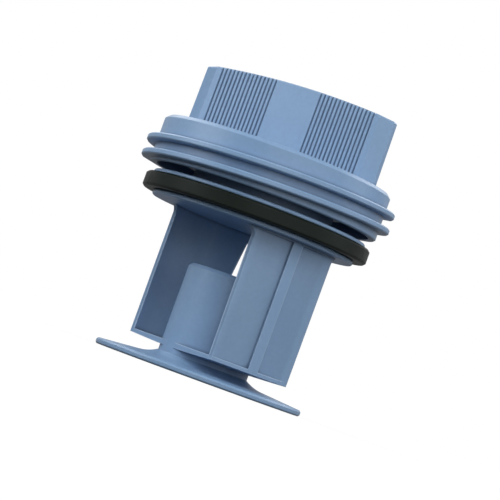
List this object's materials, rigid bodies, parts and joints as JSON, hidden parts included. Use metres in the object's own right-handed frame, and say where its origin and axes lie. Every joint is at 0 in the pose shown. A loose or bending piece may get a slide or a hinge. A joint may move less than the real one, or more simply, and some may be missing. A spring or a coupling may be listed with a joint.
{
  "type": "drain pump filter",
  "caption": "Screw-in drain pump filter with a ribbed blade grip on a threaded cap, a rubber seal ring and an open cage with a hollow post on a foot disc.",
  "frame": {"origin": "centre of the foot disc's lower face, on the filter's axis", "axes": "+Z along the filter's axis from the foot disc to the grip; +X to the right and -Y towards the viewer in the picture's view"},
  "size_m": [0.0676, 0.0676, 0.0808],
  "materials": {
    "blue_plastic": "satin grey-blue moulded plastic",
    "seal_rubber": "satin black rubber"
  },
  "bodies": {
    "insert": {"filter_insert": "blue_plastic", "seal_ring": "seal_rubber"},
    "cap": {"screw_cap": "blue_plastic"}
  },
  "joints": [
    {"name": "cap_turn", "type": "hinge", "parent": "insert", "child": "cap", "pos_m": [0, 0, 0.055], "axis": [0, 0, 1], "continuous": true}
  ]
}
